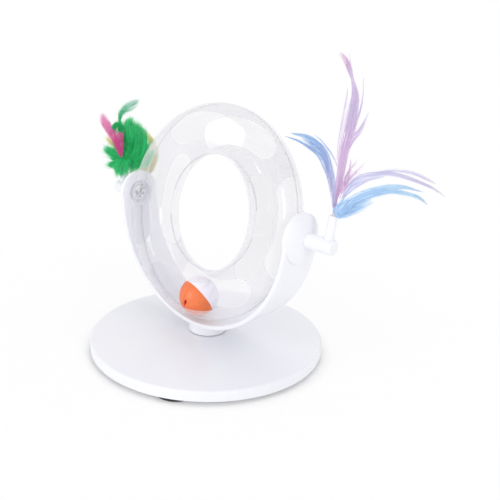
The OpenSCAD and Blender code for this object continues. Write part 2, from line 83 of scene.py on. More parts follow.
class Signal:
    """A node socket that can stand in sums and products."""

    def __init__(self, shader: Shader, socket: bpy.types.NodeSocket) -> None:
        """Keeps an output socket and the shader that it belongs to."""
        self.shader = shader
        self.socket = socket

    def _maths(self, operation: str, first: Signal | float, second: Signal | float) -> Signal:
        """Adds one Math node with an operation on two values."""
        return self.shader.node("ShaderNodeMath", {"operation": operation}, {0: first, 1: second})

    def __add__(self, other: Signal | float) -> Signal:
        """Sum with another signal or a number."""
        return self._maths("ADD", self, other)

    __radd__ = __add__

    def __mul__(self, other: Signal | float) -> Signal:
        """Product with another signal or a number."""
        return self._maths("MULTIPLY", self, other)

    __rmul__ = __mul__

    def __sub__(self, other: Signal | float) -> Signal:
        """This signal less another signal or a number."""
        return self._maths("SUBTRACT", self, other)

    def __rsub__(self, other: Signal | float) -> Signal:
        """A number less this signal."""
        return self._maths("SUBTRACT", other, self)

    def __pow__(self, other: Signal | float) -> Signal:
        """This signal raised to a power."""
        return self._maths("POWER", self, other)

    def clamped(self) -> Signal:
        """This signal held between 0 and 1."""
        return self._maths("MINIMUM", self._maths("MAXIMUM", self, 0.0), 1.0)

    def rise(self, start: float, reach: float) -> Signal:
        """A mask that is 0 up to a start value and climbs evenly to 1 over a reach."""
        return ((self - start) * (1.0 / reach)).clamped()

    def swing(self, middle: float, spread: float) -> Signal:
        """This noise from 0 to 1, moved to vary about a middle value by a spread in all."""
        return middle + (self - 0.5) * spread


class Shader:
    """The nodes of a material or a world under construction."""

    def __init__(self, owner: Material | bpy.types.World) -> None:
        """Starts an empty node tree.

        Args:
            owner: The new material or world.
        """
        self.owner = owner
        owner.use_nodes = True
        self.tree = owner.node_tree
        self.tree.nodes.clear()

    def node(
        self,
        kind: str,
        settings: dict[str, object] | None = None,
        inputs: dict[int | str, object] | None = None,
        output: int | str = 0,
    ) -> Signal:
        """Adds a node.

        Args:
            kind: The node's type name.
            settings: Its properties, set before its sockets.
            inputs: Values, colours or signals for its input sockets.
            output: The output socket that is returned.

        Returns:
            The chosen output as a signal.
        """
        made = self.tree.nodes.new(kind)
        for key, value in (settings or {}).items():
            setattr(made, key, value)
        for key, value in (inputs or {}).items():
            socket = made.inputs[key]
            if isinstance(value, Signal):
                self.tree.links.new(value.socket, socket)
            elif isinstance(value, tuple) and len(value) == 3 and socket.type == "RGBA":
                socket.default_value = (*value, 1.0)
            else:
                socket.default_value = value
        return Signal(self, made.outputs[output])

    def place(self) -> Signal:
        """The surface point in the model's own frame."""
        return self.node("ShaderNodeTexCoord", output="Object")

    def distance(self, centre: Sequence[float] = (0, 0, 0), axes: Sequence[float] = (1, 1, 1)) -> Signal:
        """How far the surface point is from a centre.

        Args:
            centre: The centre, in the model's own frame.
            axes: 1 for each axis that counts and 0 for the others.

        Returns:
            The distance in metres.
        """
        offset = self.node("ShaderNodeVectorMath", {"operation": "SUBTRACT"}, {0: self.place(), 1: centre})
        counted = self.node("ShaderNodeVectorMath", {"operation": "MULTIPLY"}, {0: offset, 1: axes})
        return self.node("ShaderNodeVectorMath", {"operation": "LENGTH"}, {0: counted}, output="Value")

    def noise(self, scale: float, detail: float = 2.0, stretch: Sequence[float] = (1, 1, 1)) -> Signal:
        """Cloudy noise from 0 to 1.

        Args:
            scale: Clouds to the metre.
            detail: Octaves of finer clouds.
            stretch: Scale of the pattern along X, Y and Z.

        Returns:
            The noise.
        """
        spot = self.node("ShaderNodeMapping", inputs={"Vector": self.place(), "Scale": stretch})
        inputs = {"Vector": spot, "Scale": scale, "Detail": detail}
        return self.node("ShaderNodeTexNoise", inputs=inputs, output="Fac")

    def blend(
        self, amount: Signal | float, first: Signal | Colour, second: Signal | Colour, way: str = "MIX"
    ) -> Signal:
        """Mixes two colours by the share of the second, which goes over the first in the given way."""
        settings = {"data_type": "RGBA", "blend_type": way}
        return self.node("ShaderNodeMix", settings, {0: amount, 6: first, 7: second}, output=2)

    def bump(self, height: Signal, strength: float, depth: float) -> Signal:
        """Bends the normal by a share of what a height from 0 to 1 and its depth in metres ask for."""
        inputs = {"Strength": strength, "Distance": depth, "Height": height}
        return self.node("ShaderNodeBump", inputs=inputs)

    def surface(self, inputs: dict[str, object]) -> Signal:
        """Adds the main shader, with its sockets given by name."""
        return self.node("ShaderNodeBsdfPrincipled", inputs=inputs)

    def either(self, share: Signal | float, first: Signal, second: Signal) -> Signal:
        """Mixes two shaders by the share of the second."""
        return self.node("ShaderNodeMixShader", inputs={0: share, 1: first, 2: second})

    def in_view(self) -> Signal:
        """A mask of the rays that show the studio: the camera's, mirrored ones and transmitted ones.

        Returns:
            1 for such a ray and 0 for the others.
        """
        kinds = ("Is Camera Ray", "Is Glossy Ray", "Is Transmission Ray")
        straight, mirrored, passed = (self.node("ShaderNodeLightPath", output=kind) for kind in kinds)
        return (straight + mirrored + passed).clamped()

    def close(self, surface: Signal, output: str = "ShaderNodeOutputMaterial") -> bpy.types.ID:
        """Joins the surface to the output.

        Args:
            surface: The finished shader.
            output: The output node's type name.

        Returns:
            The finished material or world.
        """
        end = self.tree.nodes.new(output)
        self.tree.links.new(surface.socket, end.inputs["Surface"])
        return self.owner


# Finishes


@dataclass(frozen=True)
class MouldedPlastic:
    """Injection-moulded plastic with a faint cloudiness of two shades and a fine skin."""

    name: str
    colour: Colour
    shade: Colour
    roughness: float = 0.3
    roughness_swing: float = 0.12
    cloud_scale: float = 14.0
    cloud_detail: float = 3.0
    cloud_start: float = 0.3
    cloud_reach: float = 0.625
    skin_scale: float = 900.0
    skin_depth: float = 0.02 * MM
    skin_share: float = 0.25

    def tone(self, shader: Shader, patches: Signal) -> Signal:
        """The plastic's colour, which turns to its other shade in patches."""
        return shader.blend(patches, self.colour, self.shade)

    def glow(self, shader: Shader) -> dict[str, object]:
        """The main shader's sockets for painted light, of which this plain kind has none."""
        return {}

    def build(self) -> Material:
        """Makes the material.

        Returns:
            The material.
        """
        shader = Shader(bpy.data.materials.new(self.name))
        clouds = shader.noise(self.cloud_scale, self.cloud_detail)
        skin = shader.noise(self.skin_scale)
        inputs = {
            "Base Color": self.tone(shader, clouds.rise(self.cloud_start, self.cloud_reach)),
            "Roughness": clouds.swing(self.roughness, self.roughness_swing),
            "Normal": shader.bump(skin, self.skin_share, self.skin_depth),
        }
        return shader.close(shader.surface(inputs | self.glow(shader)))


@dataclass(frozen=True, kw_only=True)
class BoredPlastic(MouldedPlastic):
    """Moulded plastic with painted light in the two bores round the ring's axle, an emission that lifts the
    shade where the clear cups sit.
    """

    bore_radius: float = 13.65 * MM
    bore_end: float = 117.2 * MM
    bore_edge: float = 0.1 * MM
    # Strength of the painted light in the bores.
    painted_bore_glow: float = 0.22

    def glow(self, shader: Shader) -> dict[str, object]:
        """The painted light in the bores, an emission that lifts their shade.

        Args:
            shader: The material under construction.

        Returns:
            Sockets of the main shader, by name.
        """
        axle = (0.0, 0.0, AXLE_HEIGHT)
        beside = (self.bore_radius - shader.distance(axle, (0, 1, 1))).rise(0.0, self.bore_edge)
        before = (self.bore_end - shader.distance(axle, (1, 0, 0))).rise(0.0, self.bore_edge)
        # Painted light: an emission in the plastic's colour within the bores, lifting their shade.
        colour = shader.blend(beside * before, BLACK, self.colour)
        return {"Emission Color": colour, "Emission Strength": self.painted_bore_glow}


@dataclass(frozen=True, kw_only=True)
class PleatedPlastic(MouldedPlastic):
    """Moulded plastic of the ball, with a painted highlight in the grooves between its pleats, and painted
    shade and light on what lies deeper, in its vents and hollow.
    """

    # A painted highlight: the lighter colour of the grooves between the pleats.
    painted_groove_highlight: Colour
    # Painted shade and light: the deep tone of what lies below the grooves, in the vents and hollow.
    painted_inner_shade_and_light: Colour
    middle: Point = (2.241 * MM, -15.888 * MM, 60.417 * MM)
    skin_radius: float = 19.8 * MM
    groove_depth: float = 0.2 * MM
    vent_depth: float = 0.6 * MM
    # Strength of the painted light below the grooves.
    painted_inner_glow: float = 0.08
    roughness: float = 0.35
    cloud_scale: float = 90.0
    cloud_start: float = 0.35
    cloud_reach: float = 1.0 / 1.2
    skin_scale: float = 1600.0

    def within(self, shader: Shader, start: float) -> Signal:
        """A mask of what lies deeper below the ball's skin than a start value."""
        return (self.skin_radius - shader.distance(self.middle)).rise(start, self.groove_depth)

    def tone(self, shader: Shader, patches: Signal) -> Signal:
        """The colour of the pleats, with the painted highlight of the grooves and the painted shade and
        light deeper down.
        """
        # Painted highlight in the grooves, then painted shade and light deeper down.
        skin = shader.blend(self.within(shader, 0.0), super().tone(shader, patches), self.painted_groove_highlight)
        return shader.blend(self.within(shader, self.vent_depth), skin, self.painted_inner_shade_and_light)

    def glow(self, shader: Shader) -> dict[str, object]:
        """Painted light deeper down: an emission in the deep tone, standing in for light through the thin
        wall.
        """
        # Painted light: an emission in the deep tone deeper down.
        colour = shader.blend(self.within(shader, self.vent_depth), BLACK, self.painted_inner_shade_and_light)
        return {"Emission Color": colour, "Emission Strength": self.painted_inner_glow}


@dataclass(frozen=True)
class ClearPlastic:
    """Clear plastic that light crosses straight, with a pale veil and a gloss that grows at the edges."""

    name: str
    tint: Colour
    veil: Colour
    veil_share: float
    edge_share: float
    edge_power: float = 3.0
    patches: float = 0.05
    patch_scale: float = 9.0
    patch_share: float = 0.97
    haze_share: float = 0.5
    roughness: float = 0.07
    ripple_scale: float = 60.0
    ripple_share: float = 0.2
    ripple_depth: float = 0.4 * MM
    gloss_share: float = 0.3
    gloss_power: float = 4.0
    gloss_floor: float = 0.012

    def build(self) -> Material:
        """Makes the material.

        Returns:
            The material.
        """
        shader = Shader(bpy.data.materials.new(self.name))
        facing = shader.node("ShaderNodeLayerWeight", output="Facing")
        streaks = shader.noise(self.patch_scale)
        share = (facing**self.edge_power) * self.edge_share + streaks.swing(self.veil_share, self.patches)
        shine = {
            "Roughness": self.roughness,
            "Normal": shader.bump(shader.noise(self.ripple_scale), self.ripple_share, self.ripple_depth),
        }
        tone = shader.blend(streaks, self.veil, dimmed(self.veil, self.patch_share))
        body = shader.surface({"Base Color": tone, **shine})
        lit = shader.node("ShaderNodeBsdfTranslucent", inputs={"Color": self.veil})
        through = shader.node("ShaderNodeBsdfTransparent", inputs={"Color": self.tint})
        mixed = shader.either(share.clamped(), through, shader.either(self.haze_share, body, lit))
        gloss = shader.node("ShaderNodeBsdfGlossy", inputs={"Color": WHITE, **shine})
        mirror = (facing**self.gloss_power) * self.gloss_share + self.gloss_floor
        return shader.close(shader.either(mirror.clamped(), mixed, gloss))


@dataclass(frozen=True)
class TurnedMetal:
    """Bright metal with fine turning marks round an axis along X."""

    name: str
    colour: Colour
    roughness: float = 0.28
    mark_scale: float = 420.0
    dark_share: float = 0.35
    metallic: float = 1.0
    mark_stretch: Point = (0.2, 1.0, 1.0)
    mark_start: float = 0.4
    mark_reach: float = 0.2
    mark_depth: float = 0.05 * MM
    mark_share: float = 0.4
    roughness_swing: float = 0.3

    def build(self) -> Material:
        """Makes the material.

        Returns:
            The material.
        """
        shader = Shader(bpy.data.materials.new(self.name))
        marks = shader.noise(self.mark_scale, stretch=self.mark_stretch)
        dark = marks.rise(self.mark_start, self.mark_reach)
        inputs = {
            "Base Color": shader.blend(dark, self.colour, dimmed(self.colour, self.dark_share)),
            "Metallic": self.metallic,
            "Roughness": marks.swing(self.roughness, self.roughness_swing),
            "Normal": shader.bump(marks, self.mark_share, self.mark_depth),
        }
        return shader.close(shader.surface(inputs))


@dataclass(frozen=True)
class Barbs:
    """Dyed feather barbs, which pass light on, carry a faint painted glow and take the strand's own tone."""

    name: str
    fleck_scale: float = 700.0
    fleck_tone: Colour = (0.93, 0.93, 0.94)
    roughness: float = 0.75
    roughness_swing: float = 0.2
    mirror_level: float = 0.25
    glow_share: float = 0.22
    # Strength of the painted glow in the barbs' own tone.
    painted_glow: float = 0.07

    def build(self) -> Material:
        """Makes the material.

        Returns:
            The material.
        """
        shader = Shader(bpy.data.materials.new(self.name))
        tone = shader.node("ShaderNodeVertexColor", {"layer_name": "tone"}, output="Color")
        flecks = shader.noise(self.fleck_scale)
        colour = shader.blend(flecks, shader.blend(1.0, tone, self.fleck_tone, "MULTIPLY"), tone)
        body = shader.surface(
            {
                "Base Color": colour,
                "Roughness": flecks.swing(self.roughness, self.roughness_swing),
                "Specular IOR Level": self.mirror_level,
                # Painted light: a faint emission in the strand's own tone.
                "Emission Color": colour,
                "Emission Strength": self.painted_glow,
            }
        )
        glow = shader.node("ShaderNodeBsdfTranslucent", inputs={"Color": colour})
        return shader.close(shader.either(self.glow_share, body, glow))


# Pieces


def add_object(name: str, data: bpy.types.ID) -> bpy.types.Object:
    """Puts a new object in the scene.

    Args:
        name: The object's name.
        data: Its mesh, lamp or camera.

    Returns:
        The object, at the origin.
    """
    made = bpy.data.objects.new(name, data)
    bpy.context.scene.collection.objects.link(made)
    return made


def close_mesh(name: str, shape: bmesh.types.BMesh) -> bpy.types.Mesh:
    """Turns a finished bmesh into a mesh.

    Args:
        name: The mesh's name.
        shape: The bmesh, which is let go.

    Returns:
        The mesh.
    """
    mesh = bpy.data.meshes.new(name)
    shape.to_mesh(mesh)
    shape.free()
    return mesh


def make_piece(
    mesh: bpy.types.Mesh,
    material: Material,
    body: str,
    slot: str,
    stands_for: Sequence[str] = (),
) -> None:
    """Puts a finished mesh in the scene under its own name and ties it to its body.

    Args:
        mesh: The mesh, in the model's frame.
        material: Its material.
        body: The body that it rides on.
        slot: The name of its material slot; not used.
        stands_for: The model's nodes that it takes the place of.
    """
    piece = add_object(mesh.name, mesh)
    mesh.materials.append(material)
    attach(piece, body)
    if stands_for:
        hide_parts(*stands_for)
    LOG.info("%s: %d faces on %s", piece.name, len(mesh.polygons), body)


def dress(material: Material, *nodes: str) -> None:
    """Gives some of the model's own nodes their material.

    Args:
        material: The material.
        nodes: The nodes' names.
    """
    for node in nodes:
        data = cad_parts[node].data
        data.materials.clear()
        data.materials.append(material)
        LOG.info("%s: dressed with %s", node, material.name)


# Strands


@dataclass
class Strand:
    """A tapered strand: where it runs, how thick it is and its tone along it."""

    run: Callable[[float], Vector]
    across: Vector
    lift: Vector
    half_width: float
    half_depth: float
    tone: Callable[[float], Paint]
    taper: float
    corners: int = 3

    def ring(self, along: float) -> list[Vector]:
        """The corners of the strand's section.

        Args:
            along: Place along the strand, from 0 at the root to 1 at the tip.

        Returns:
            One point for each corner.
        """
        middle = self.run(along)
        size = 1.0 - self.taper * along
        turn = math.tau / self.corners
        return [
            middle
            + self.across * (self.half_width * size * math.cos(k * turn))
            + self.lift * (self.half_depth * size * math.sin(k * turn))
            for k in range(self.corners)
        ]


def grow_strands(name: str, strands: Sequence[Strand], steps: int) -> bpy.types.Mesh:
    """Extrudes every strand from its root section, all strands together.

    Args:
        name: The mesh's name.
        strands: The strands.
        steps: Sections that follow the root.

    Returns:
        A mesh of closed strands with the colour attribute "tone".
    """
    sheaf = bmesh.new()
    owner = sheaf.verts.layers.int.new("owner")
    corner = sheaf.verts.layers.int.new("corner")
    tone = sheaf.verts.layers.float_color.new("tone")
    caps = []
    for index, strand in enumerate(strands):
        root = []
        for k, place in enumerate(strand.ring(0.0)):
            vert = sheaf.verts.new(place)
            vert[owner] = index
            vert[corner] = k
            vert[tone] = strand.tone(0.0)
            root.append(vert)
        caps.append(sheaf.faces.new(root))
    for step in range(1, steps + 1):
        along = step / steps
        grown = bmesh.ops.extrude_face_region(sheaf, geom=caps)["geom"]
        caps = [item for item in grown if isinstance(item, bmesh.types.BMFace)]
        rings = [strand.ring(along) for strand in strands]
        tones = [strand.tone(along) for strand in strands]
        for vert in (item for item in grown if isinstance(item, bmesh.types.BMVert)):
            vert.co = rings[vert[owner]][vert[corner]]
            vert[tone] = tones[vert[owner]]
    bmesh.ops.recalc_face_normals(sheaf, faces=sheaf.faces[:])
    return close_mesh(name, sheaf)


def span_at(at: float, count: int) -> tuple[int, float]:
    """Finds the span of an evenly spaced list in which a place lies.

    Args:
        at: The place, from 0 to 1; beyond them it counts as the nearer end.
        count: Number of entries in the list.

    Returns:
        The index of the span's first entry, and the share of the span up to the place.
    """
    reach = min(max(at, 0.0), 1.0) * (count - 1)
    first = min(int(reach), count - 2)
    return first, reach - first


def smooth_path(points: Sequence[Vector], along: float) -> Vector:
    """A point of the smooth curve through a list of points, by the Catmull-Rom formula.

    Args:
        points: The points that the curve passes.
        along: Share of the way; beyond 0 and 1 it counts as the nearer end.

    Returns:
        The point.
    """
    i, t = span_at(along, len(points))
    a, b, c, d = points[max(i - 1, 0)], points[i], points[i + 1], points[min(i + 2, len(points) - 1)]
    bend = a * 2 - b * 5 + c * 4 - d
    twist = b * 3 - a - c * 3 + d
    return (b * 2 + (c - a) * t + bend * (t * t) + twist * (t * t * t)) / 2


def mix(first: Colour, second: Colour, amount: float) -> Colour:
    """A colour between two others, by the share of the second."""
    return tuple(a + (b - a) * amount for a, b in zip(first, second))


def ring_frame() -> Matrix:
    """The leaning frame of the ring's axle: X along the axle, Z up the ring."""
    return Matrix.Translation((0.0, 0.0, AXLE_HEIGHT)) @ Matrix.Rotation(-RING_LEAN, 4, "X")


# Feathers


def palette(*shades: tuple[int, int, int]) -> list[Colour]:
    """Turns screen colours from 11 to 255 into plain shares of light, by the sRGB curve's power part."""
    return [tuple(((c / 255 + 0.055) / 1.055) ** 2.4 for c in shade) for shade in shades]


@dataclass(frozen=True)
class Lock:
    """A lock of barbs, in millimetres from the holder's mouth, in the ring's frame.

    The path is its middle line, and widths holds half its width at each point of the path. A fan of 1
    springs every barb from the middle line, and of 0 leaves the barbs side by side. Deep scales how far
    they stand off the blade's plane. The span is the part of the palette that the lock takes from root to
    tip.
    """

    path: Sequence[Point]
    widths: Sequence[float]
    count: int
    fan: float = 0.4
    deep: float = 0.3
    span: Range = (0.0, 1.0)
    barb_share: float = 0.5


Locks = Sequence[Lock]


@dataclass
class Stations:
    """The middle line of a lock, cut into even steps with a frame at each."""

    middles: list[Vector]
    acrosses: list[Vector]
    lifts: list[Vector]
    widths: list[float]

    @classmethod
    def of(cls, lock: Lock, foot: Vector, face: Vector, steps: int = 40, nearby: float = 0.03) -> Stations:
        """Cuts a lock.

        Args:
            lock: The lock.
            foot: The holder's mouth, in the ring's frame.
            face: The way that the blade faces, in the ring's frame.
            steps: Number of steps.
            nearby: Share of the line, to each side, over which its direction is taken.

        Returns:
            The stations, in the model's frame.
        """
        place = ring_frame()
        turn = place.to_3x3()
        points = [foot + Vector(p) * MM for p in lock.path]
        made = cls([], [], [], [])
        for k in range(steps + 1):
            at = k / steps
            ahead = (smooth_path(points, at + nearby) - smooth_path(points, at - nearby)).normalized()
            across = face.cross(ahead).normalized()
            made.middles.append(place @ smooth_path(points, at))
            made.acrosses.append(turn @ across)
            made.lifts.append(turn @ ahead.cross(across))
            i, t = span_at(at, len(lock.widths))
            made.widths.append((lock.widths[i] + (lock.widths[i + 1] - lock.widths[i]) * t) * MM)
        return made

    def point(self, at: float, out: float, lift: float) -> Vector:
        """A point beside the middle line.

        Args:
            at: Share of the way along the line; beyond 1 the line goes on straight.
            out: Place to the side, as a share of half the width there.
            lift: Place off the blade's face, as a share of half the width there.

        Returns:
            The point, in the model's frame.
        """
        i, t = span_at(at, len(self.middles))
        middle = self.middles[i].lerp(self.middles[i + 1], t)
        across = self.acrosses[i].lerp(self.acrosses[i + 1], t)
        rise = self.lifts[i].lerp(self.lifts[i + 1], t)
        width = self.widths[i] + (self.widths[i + 1] - self.widths[i]) * t
        if at > 1.0:
            middle = middle + (self.middles[-1] - self.middles[-2]) * ((at - 1.0) * (len(self.middles) - 1))
        return middle + across * (out * width) + rise * (lift * width)


@dataclass
class Plume:
    """A feather or a tuft of down, made of locks of fine barbs.

    Barbs wave and ruffle by so many metres, differ in lightness by the contrast and spill past the tip by
    a share of the lock. Lengths, edges, rounds and strays are ranges that each barb draws from.
    """

    name: str
    node: str | None
    slot: str
    locks: Locks
    tones: Sequence[Colour]
    seed: int
    barb_half: float = 0.2 * MM
    wave: float = 0.0
    ruffle: float = 0.0
    contrast: float = 0.08
    pale: float = 0.3
    steps: int = 8
    spill: float = 0.04
    face: Point = (0.6, -0.8, 0.2)
    mouth: Point = (141.3 * MM, 0.0, 27.5 * MM)
    lengths: Range = (0.6, 1.25)
    edges: Range = (0.8, 1.08)
    rounds: Range = (0.8, 2.0)
    strays: Range = (-0.12, 0.12)
    lift_spread: float = 0.5
    root_share: float = 0.75
    least_root: float = 0.05
    curl_rise: float = 0.6
    flat_share: float = 0.3
    taper: float = 0.8
    nearby: float = 0.04

    def tone(self, at: float, lightness: float) -> Paint:
        """The feather's colour.

        Args:
            at: Place in the palette, from 0 to 1.
            lightness: Factor on the colour.

        Returns:
            Red, green, blue and 1.
        """
        i, t = span_at(at, len(self.tones))
        colour = mix(mix(self.tones[i], self.tones[i + 1], t), WHITE, self.pale)
        return (*(min(c * lightness, 1.0) for c in colour), 1.0)

    def barb(self, dice: random.Random, lock: Lock, line: Stations) -> Strand:
        """One barb of a lock.

        Args:
            dice: The feather's own dice.
            lock: The lock.
            line: The lock's stations.

        Returns:
            The strand.
        """
        length = lock.barb_share * dice.uniform(*self.lengths)
        root = dice.uniform(0.0, max(1.0 - self.root_share * length, self.least_root))
        end = min(root + length, 1.0 + dice.uniform(0.0, self.spill))
        out = dice.uniform(-1.0, 1.0) * dice.uniform(*self.edges)
        rise = dice.gauss(0.0, self.lift_spread) * lock.deep
        shift = Vector((dice.gauss(0, 1), dice.gauss(0, 1), dice.gauss(0, 1))) * self.ruffle
        start = dice.uniform(0.0, math.tau)
        rounds = dice.uniform(*self.rounds)
        lightness = 1.0 + dice.uniform(-1.0, 1.0) * self.contrast
        stray = dice.uniform(*self.strays)
        first, final = lock.span

        def run(t: float) -> Vector:
            """Middle of the barb.

            Args:
                t: Share of its length.

            Returns:
                The point, in the model's frame.
            """
            opened = 1.0 - lock.fan + lock.fan * (1.0 - (1.0 - t) ** 2)
            beside = line.point(root + (end - root) * t, out * opened + stray * t, rise * opened)
            curl = self.wave * math.sin(start + rounds * math.tau * t)
            swirl = Vector((curl * math.cos(start), curl * math.sin(start), curl * self.curl_rise))
            return beside + shift * (t * t) + swirl

        def tone(t: float) -> Paint:
            """Colour of the barb at a share of its length."""
            return self.tone(first + (final - first) * (root + (end - root) * t), lightness)

        ahead = (line.point(root + self.nearby, 0.0, 0.0) - line.point(root, 0.0, 0.0)).normalized()
        across = (ring_frame().to_3x3() @ Vector(self.face)).cross(ahead).normalized()
        flat = self.barb_half * self.flat_share
        return Strand(run, across, ahead.cross(across), self.barb_half, flat, tone, self.taper)

    def build(self, side: Side, material: Material) -> None:
        """Makes the feather in the place of its plain solid.

        Args:
            side: The arm that holds it.
            material: The barbs' material.
        """
        dice = random.Random(self.seed)
        x, y, z = self.mouth
        foot = Vector((side.value * x, y, z))
        strands = []
        for lock in self.locks:
            line = Stations.of(lock, foot, Vector(self.face))
            strands.extend(self.barb(dice, lock, line) for _ in range(lock.count))
        mesh = grow_strands(self.name, strands, self.steps)
        make_piece(mesh, material, "ring", self.slot, [self.node] if self.node else ())


@dataclass
class Tuft:
    """The feathers in the holder of one pivot arm."""

    side: Side
    barbs: Material

    def plumes(self) -> list[Plume]:
        """The tuft's feathers, in the order in which they are made."""
        return []

    def build(self) -> None:
        """Makes every feather of the tuft."""
        for plume in self.plumes():
            plume.build(self.side, self.barbs)


@dataclass
class RightTuft(Tuft):
    """The four pastel feathers of the right arm, and the curls at their feet."""

    lilac: Locks = (
        Lock([(0, 0, -2), (-0.5, -1.5, 16), (0, -2, 35), (0, -3.5, 54), (0.5, -2.5, 68), (0.5, -2.5, 82),
              (0, -2, 92), (-1.5, -1.5, 101), (-3.5, -6.5, 111), (-4.5, -13, 119), (-4, -19.5, 123),
              (-5.5, -26, 126.5)],
             [1.8, 2.8, 3.8, 4.5, 5.6, 5.2, 4.4, 3, 0.9, 2.6, 2.9, 1.8],
             count=330, barb_share=0.3, fan=0.3),
        Lock([(0, -1, 10), (0, -2, 35), (0, -3.5, 54), (0.5, -2.5, 68), (0.5, -2.5, 82), (0, -2, 92),
              (-1.5, -1.5, 101)],
             [1.4, 2, 2.4, 3.2, 3.2, 2.6, 1.8], count=200, barb_share=0.3, span=(0.1, 0.75), deep=0.1),
        Lock([(0.5, -3, 45), (2, -2, 56.5), (4.5, 0, 65), (7.5, 2.5, 72), (9, 4.5, 79.5), (10, 6, 86.5)],
             [2, 2.9, 2.8, 2.2, 1.2, 0.3], count=60, span=(0.3, 0.6)),
        Lock([(3, -1, 66), (4.5, 1, 83.5), (4.5, 2, 92), (3.5, 2.5, 102), (3, -0.5, 113.5)],
             [1.4, 1, 0.7, 0.4, 0.1], count=36, span=(0.4, 0.6)),
        Lock([(-2.5, -4.5, 39.5), (-4, -6.5, 58), (-4.5, -7, 78), (-5.5, -6, 92.5), (-6.5, -6, 103.5)],
             [1.1, 1.3, 1.3, 0.9, 0.3], count=26, span=(0.4, 0.6)),
        Lock([(-4, -7.5, 113.5), (-3, -14.5, 122.5), (-2, -20, 129)],
             [0.4, 0.3, 0.1], count=7, span=(0.8, 1)),
    )
    blue: Locks = (
        Lock([(0, 0, 0.5), (-0.5, -8.5, 23.5), (-0.5, -19.5, 39), (-0.5, -29.5, 49), (-2, -41, 55.5),
              (-3.5, -53.5, 59), (-4.5, -70.5, 59.5)],
             [1.7, 3, 3.5, 3.4, 2.8, 1.9, 0.4], count=110, barb_share=0.4),
        Lock([(-0.5, -2.5, 6), (-2.5, -12.5, 27.5), (-2, -24.5, 39), (-3, -34, 47), (-4.5, -46.5, 51.5),
              (-4, -62, 55), (-5, -76, 56.5)], [1.4, 2.5, 2.9, 2.3, 1.6, 1, 0.2], count=80, barb_share=0.4),
        Lock([(2.5, -12.5, 40), (2, -19, 46.5), (1.5, -30, 53.5), (0, -40, 59), (-1, -47, 61.5)],
             [0.9, 0.9, 0.7, 0.4, 0.1], count=18),
        Lock([(-1.5, -8, 18), (-1.5, -17, 35), (-1.5, -29, 47), (-3, -42, 53), (-4, -58, 57)],
             [1.6, 2.4, 2.6, 2, 1], count=70, barb_share=0.4),
    )
    lavender: Locks = (
        Lock([(2, 1, 4), (4.5, 3.5, 21), (8.5, 6.5, 30), (14, 12, 36), (19.5, 24.5, 39.5),
              (24.5, 38.5, 41.5), (31, 54, 40.5), (37.5, 71.5, 37.5), (43.5, 83.5, 34.5), (49.5, 96, 29.5)],
             [1.5, 2.6, 3, 2.7, 2.5, 2.3, 2.1, 1.8, 1.3, 0.3], count=130, barb_share=0.32),
        Lock([(14, 14, 34), (21, 30.5, 42), (27.5, 48, 45), (34.5, 63, 44.5), (40, 77.5, 41.5),
              (44, 85, 39)], [1.4, 2.1, 2.2, 1.9, 1.3, 0.3], count=36),
        Lock([(4, 3, 15), (9.5, 7, 25), (16.5, 14.5, 33), (22, 30.5, 38)],
             [2.1, 2.9, 2, 0.7], count=50, span=(0, 0.4)),
    )
    sky: Locks = (
        Lock([(2, 1, 1), (10.5, 1.5, 12), (17.5, 8.5, 20.5), (25.5, 19, 27), (33, 25.5, 31),
              (40, 36, 32.5), (44.5, 44, 32), (49, 52, 31)],
             [3.6, 4.8, 4.2, 3.4, 2.6, 1.8, 1, 0.2], count=150, barb_share=0.4),
        Lock([(5, 2, 3.5), (17, 7.5, 16.5), (27, 19.5, 24.5), (35, 26.5, 28), (41.5, 37.5, 27.5),
              (46.5, 47, 26.5), (50, 53.5, 24.5), (53.5, 56.5, 21.5)],
             [3.6, 4.2, 3.7, 3, 2.4, 2, 1.4, 0.4], count=130, barb_share=0.4),
        Lock([(1, 0.5, -1.5), (8.5, 3.5, 4), (17.5, 6.5, 11), (24, 15, 18)],
             [3.6, 5.2, 5.4, 3], count=170, span=(0, 0.4), deep=0.5),
        Lock([(1, 0, 0), (5, -3, 4), (9, -1, 9), (13, 3, 14)],
             [2.6, 5, 5.4, 3.4], count=130, span=(0, 0.3), deep=0.8),
    )
    curls: Locks = (
        Lock([(2, -1, 22), (4.5, 2.5, 38), (4, 3.5, 46), (2, 2.5, 49.5)], [0.8, 0.6, 0.4, 0.1], count=9),
        Lock([(2, -1, 22), (5.5, 3.5, 40), (7.5, 6.5, 45.5), (8.5, 8.5, 48.5)],
             [0.8, 0.5, 0.3, 0.1], count=9),
        Lock([(3, -0.5, 22), (8, 5, 36.5), (10.5, 9, 41.5), (12.5, 12, 47.5)],
             [0.8, 0.6, 0.4, 0.1], count=9),
        Lock([(3, -1, 22), (8, 4, 34.5), (11, 7.5, 38), (13.5, 8.5, 34)], [0.8, 0.5, 0.3, 0.1], count=9),
        Lock([(2, -1.5, 14), (4, 0, 26), (5, 1, 32), (5.5, 3, 39)], [1.6, 2.8, 3, 1.2], count=60, deep=0.8),
    )

    def plumes(self) -> list[Plume]:
        """The four feathers and the curls.

        Returns:
            The plumes.
        """
        return [
            Plume("lilac_plume", "lilac_feather", "lilac_plume", self.lilac,
                  palette((222, 190, 232), (232, 198, 236), (220, 202, 238), (226, 202, 236),
                          (236, 196, 228)),
                  seed=11, pale=0.28),
            Plume("blue_plume", "blue_feather", "blue_plume", self.blue,
                  palette((206, 190, 232), (174, 195, 240), (160, 199, 244), (156, 203, 242)),
                  seed=12, pale=0.2),
            Plume("lavender_plume", "lavender_feather", "lavender_plume", self.lavender,
                  palette((196, 202, 246), (222, 220, 250), (224, 216, 244), (212, 202, 228)), seed=13),
            Plume("sky_plume", "sky_feather", "sky_plume", self.sky,
                  palette((146, 206, 255), (162, 216, 255), (184, 228, 255), (194, 218, 242)),
                  seed=14, pale=0.34),
            Plume("lilac_curls", None, "lilac_plume", self.curls,
                  palette((230, 180, 226), (226, 204, 236)),
                  seed=15, wave=0.8 * MM, ruffle=0.8 * MM, pale=0.1),
        ]


